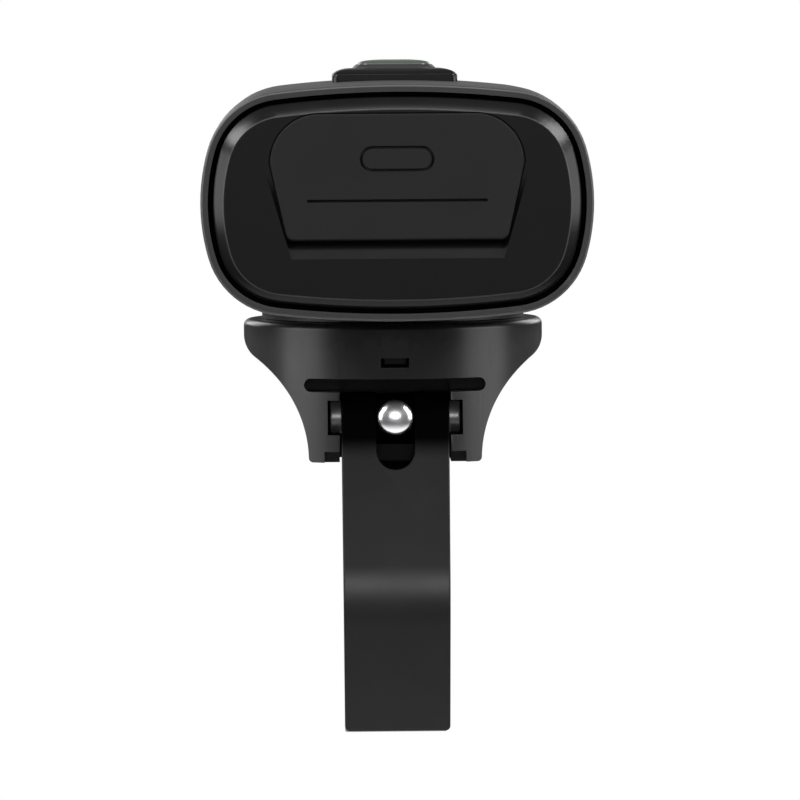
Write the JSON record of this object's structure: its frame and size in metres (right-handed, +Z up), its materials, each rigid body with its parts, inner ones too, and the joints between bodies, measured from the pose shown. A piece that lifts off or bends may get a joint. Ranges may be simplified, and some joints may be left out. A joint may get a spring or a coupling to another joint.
{
  "type": "bike headlight",
  "caption": "Bike headlight: long rounded body with a top button, a rubber charging flap at the back and a quarter-turn foot in a quick-release handlebar clamp.",
  "frame": {"origin": "on the handlebar clamp's axis, at the middle of the clamp's width", "axes": "+X along the handlebar to the rider's right, +Y forward along the beam, +Z up"},
  "size_m": [0.0444, 0.1084, 0.0808],
  "materials": {
    "bracket_plastic": "fine moulded grain",
    "lever_plastic": "satin moulded",
    "inner_plastic": "moulded",
    "cover_plastic": "satin moulded",
    "black_rubber": "matte",
    "flap_rubber": "matte",
    "button_rubber": "satin",
    "body_anodised": "black anodised",
    "bare_aluminium": "machined",
    "pin_steel": "blackened",
    "plain_steel": "plain",
    "bolt_chrome": "polished",
    "clear_lens": "clear",
    "reflector_mirror": "metal coated",
    "lamp_board": "white coated",
    "led_phosphor": "glossy",
    "cell_wrap": "shrink wrapped",
    "green_board": "coated",
    "indicator": "translucent"
  },
  "bodies": {
    "bracket": {"bracket": "bracket_plastic", "socket_ring": "inner_plastic", "saddle_pad": "black_rubber", "trunnion": "pin_steel", "front_barrel": "pin_steel"},
    "lever": {"lever": "lever_plastic"},
    "band": {"band": "bracket_plastic", "band_liner": "black_rubber", "wear_plate": "pin_steel"},
    "draw_bolt": {"draw_bolt": "bolt_chrome"},
    "light": {"housing": "body_anodised", "front_bezel": "body_anodised", "front_lens": "clear_lens", "lens_seal": "black_rubber", "reflector": "reflector_mirror", "led_board": "lamp_board", "led_emitters": "led_phosphor", "heat_sink": "bare_aluminium", "battery_cells": "cell_wrap", "battery_tabs": "plain_steel", "battery_holder": "inner_plastic", "control_board": "green_board", "tact_switch": "plain_steel", "usb_board": "green_board", "usb_socket": "plain_steel", "rear_cover": "cover_plastic", "rear_seal": "black_rubber", "flap_anchor": "flap_rubber", "button_bezel": "cover_plastic", "foot": "inner_plastic", "foot_screws": "plain_steel"},
    "button": {"button_cap": "button_rubber", "indicator_lens": "indicator"},
    "usb_flap": {"usb_flap": "flap_rubber"}
  },
  "joints": [
    {"name": "lever_hinge", "type": "hinge", "parent": "bracket", "child": "lever", "pos_m": [0, -0.0134, 0.0211], "axis": [-1, 0, 0], "range_deg": [0, 90]},
    {"name": "band_hinge", "type": "hinge", "parent": "bracket", "child": "band", "pos_m": [0, 0.0142, 0.0211], "axis": [1, 0, 0], "range_deg": [0, 75]},
    {"name": "bolt_turn", "type": "hinge", "parent": "bracket", "child": "draw_bolt", "pos_m": [0, 0, 0.0211], "axis": [0, 1, 0], "continuous": true},
    {"name": "light_turn", "type": "hinge", "parent": "bracket", "child": "light", "pos_m": [0, 0, 0.0322], "axis": [0, 0, 1], "range_deg": [0, 90]},
    {"name": "button_press", "type": "slide", "parent": "light", "child": "button", "axis": [0, 0, -1], "range_m": [0, 0.0006], "stiffness_N_per_m": 2000},
    {"name": "flap_hinge", "type": "hinge", "parent": "light", "child": "usb_flap", "pos_m": [0, -0.0483, 0.05714], "axis": [-1, 0, 0], "range_deg": [0, 100], "stiffness_Nm_per_rad": 0.002, "springref_deg": -11.46}
  ]
}
